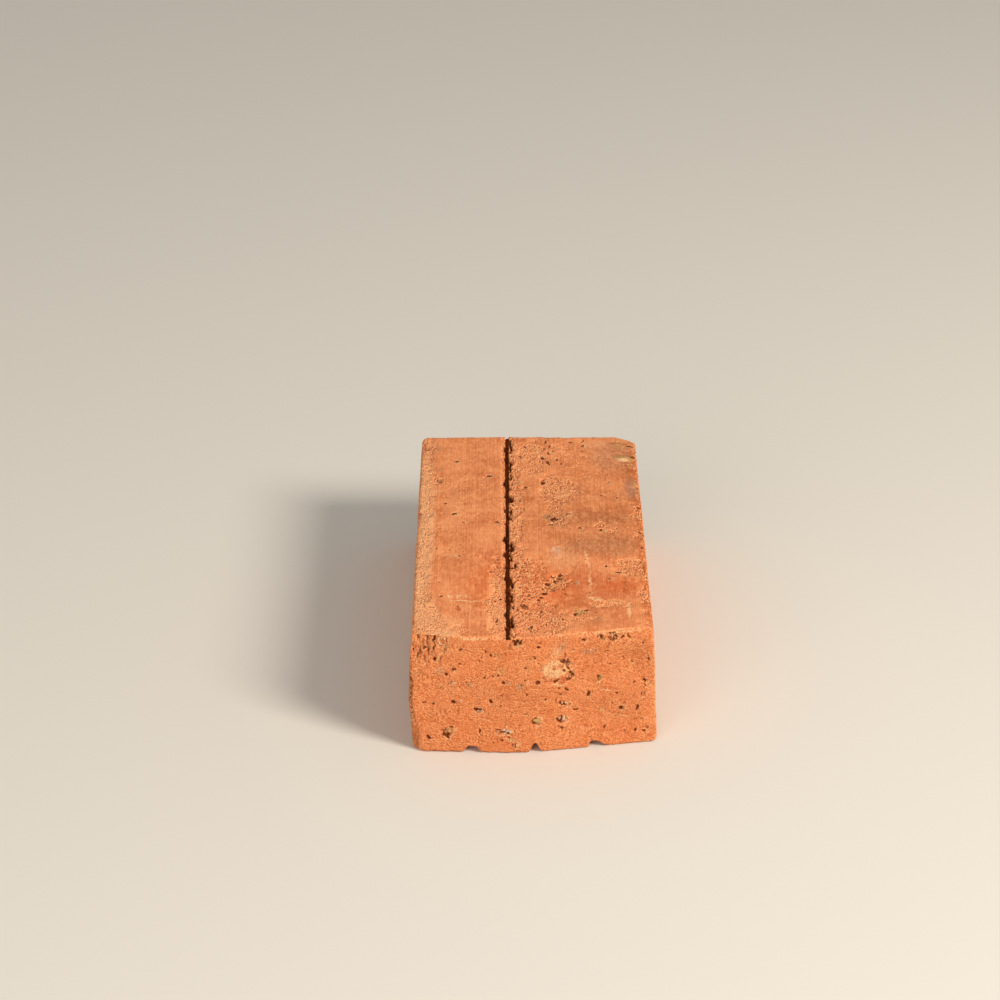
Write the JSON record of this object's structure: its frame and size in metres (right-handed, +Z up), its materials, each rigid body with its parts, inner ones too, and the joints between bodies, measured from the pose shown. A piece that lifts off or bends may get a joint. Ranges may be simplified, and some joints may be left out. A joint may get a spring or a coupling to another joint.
{
  "type": "clay brick",
  "caption": "Solid reclaimed clay brick, thin paving format: slot along the top, keys below, bowed wire-cut front end and worn, chipped corners.",
  "frame": {"origin": "middle of the underside, on the floor it lies on", "axes": "+Y along the brick away from its bowed front end, +Z up through the slotted top, +X to the right seen from the front"},
  "size_m": [0.1108, 0.222, 0.057],
  "materials": {
    "fired_clay": "rough, unglazed, worn"
  },
  "bodies": {
    "root": {"brick": "fired_clay"}
  },
  "joints": []
}
